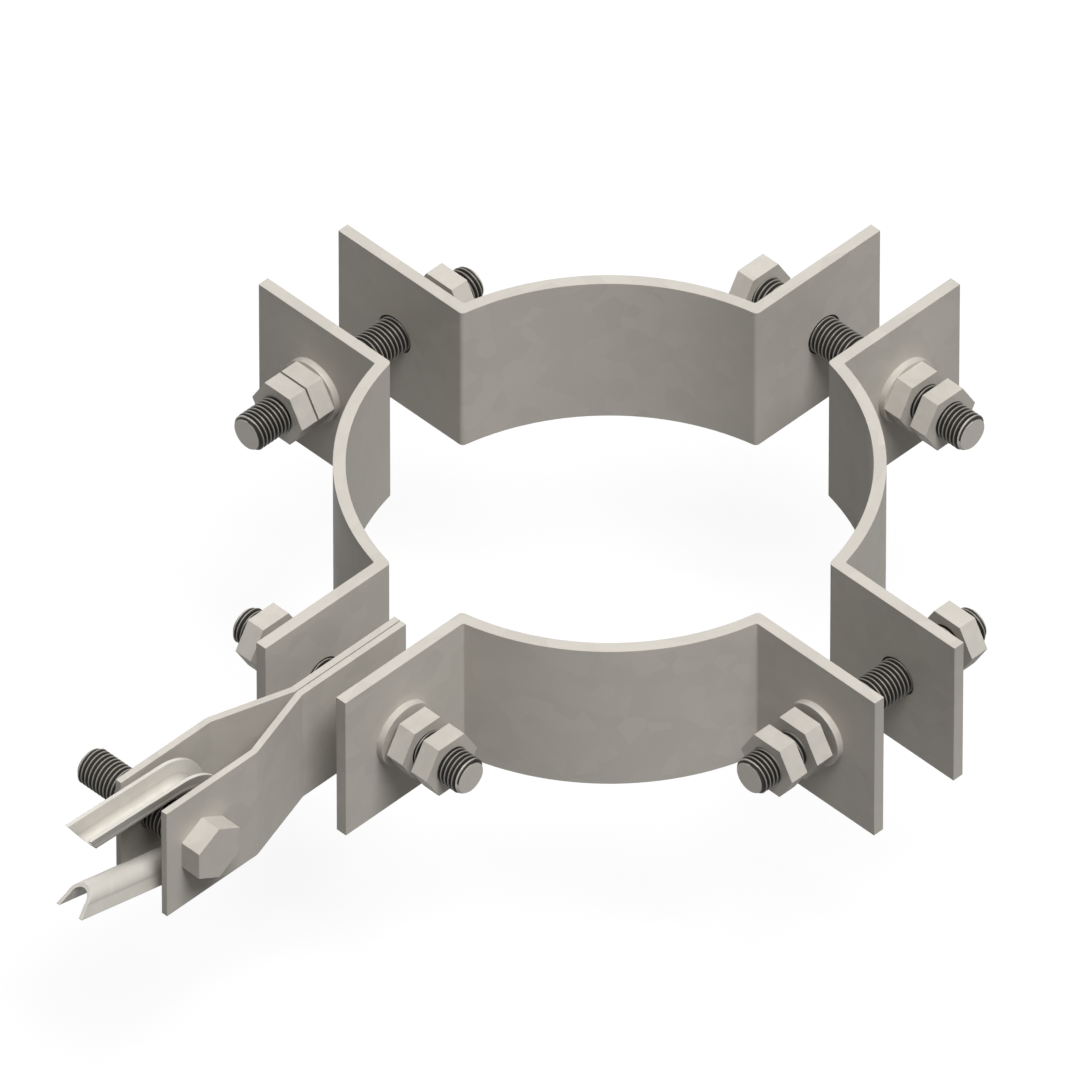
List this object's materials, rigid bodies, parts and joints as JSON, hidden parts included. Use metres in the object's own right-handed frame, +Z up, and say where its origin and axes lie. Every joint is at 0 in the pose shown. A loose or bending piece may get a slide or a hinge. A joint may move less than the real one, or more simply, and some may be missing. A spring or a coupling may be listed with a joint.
{
  "type": "pole band",
  "caption": "Bent flat steel bars drawn round a pole by threaded studs through paired ears, with a hinged fork link that holds an open grooved thimble on a bolt.",
  "frame": {"origin": "on the pole's axis at the band's lower edge", "axes": "+Z up the pole, +X to the viewer's right, +Y to the rear; the fork link points to -X and -Y"},
  "size_m": [0.3597, 0.3631, 0.07],
  "materials": {
    "band_steel": "satin galvanised",
    "stud_steel": "satin galvanised",
    "washer_steel": "satin galvanised",
    "nut_steel": "satin galvanised",
    "fork_steel": "satin galvanised",
    "fork_bolt_steel": "satin galvanised",
    "thimble_steel": "satin galvanised"
  },
  "bodies": {
    "band": {"band_back": "band_steel", "band_front": "band_steel", "band_left": "band_steel", "band_right": "band_steel", "locknut_back_left_by_back": "nut_steel", "locknut_back_left_by_left": "nut_steel", "locknut_back_right_by_back": "nut_steel", "locknut_back_right_by_right": "nut_steel", "locknut_front_left_by_front": "nut_steel", "locknut_front_left_by_left": "nut_steel", "locknut_front_right_by_front": "nut_steel", "locknut_front_right_by_right": "nut_steel", "nut_back_left_by_back": "nut_steel", "nut_back_left_by_left": "nut_steel", "nut_back_right_by_back": "nut_steel", "nut_back_right_by_right": "nut_steel", "nut_front_left_by_front": "nut_steel", "nut_front_left_by_left": "nut_steel", "nut_front_right_by_front": "nut_steel", "nut_front_right_by_right": "nut_steel", "stud_back_left": "stud_steel", "stud_back_right": "stud_steel", "stud_front_left": "stud_steel", "stud_front_right": "stud_steel", "washer_back_left_by_back": "washer_steel", "washer_back_left_by_left": "washer_steel", "washer_back_right_by_back": "washer_steel", "washer_back_right_by_right": "washer_steel", "washer_front_left_by_front": "washer_steel", "washer_front_left_by_left": "washer_steel", "washer_front_right_by_front": "washer_steel", "washer_front_right_by_right": "washer_steel"},
    "link": {"fork_arm_by_front": "fork_steel", "fork_arm_by_left": "fork_steel", "fork_bolt": "fork_bolt_steel"},
    "thimble": {"thimble": "thimble_steel"}
  },
  "joints": [
    {"name": "link_swing", "type": "hinge", "parent": "band", "child": "link", "pos_m": [-0.09758, -0.09758, 0.035], "axis": [0.7071, -0.7071, 0], "range_deg": [-40, 40]},
    {"name": "thimble_swing", "type": "hinge", "parent": "link", "child": "thimble", "pos_m": [-0.16723, -0.16723, 0.035], "axis": [0.7071, -0.7071, 0], "range_deg": [-90, 90]}
  ]
}
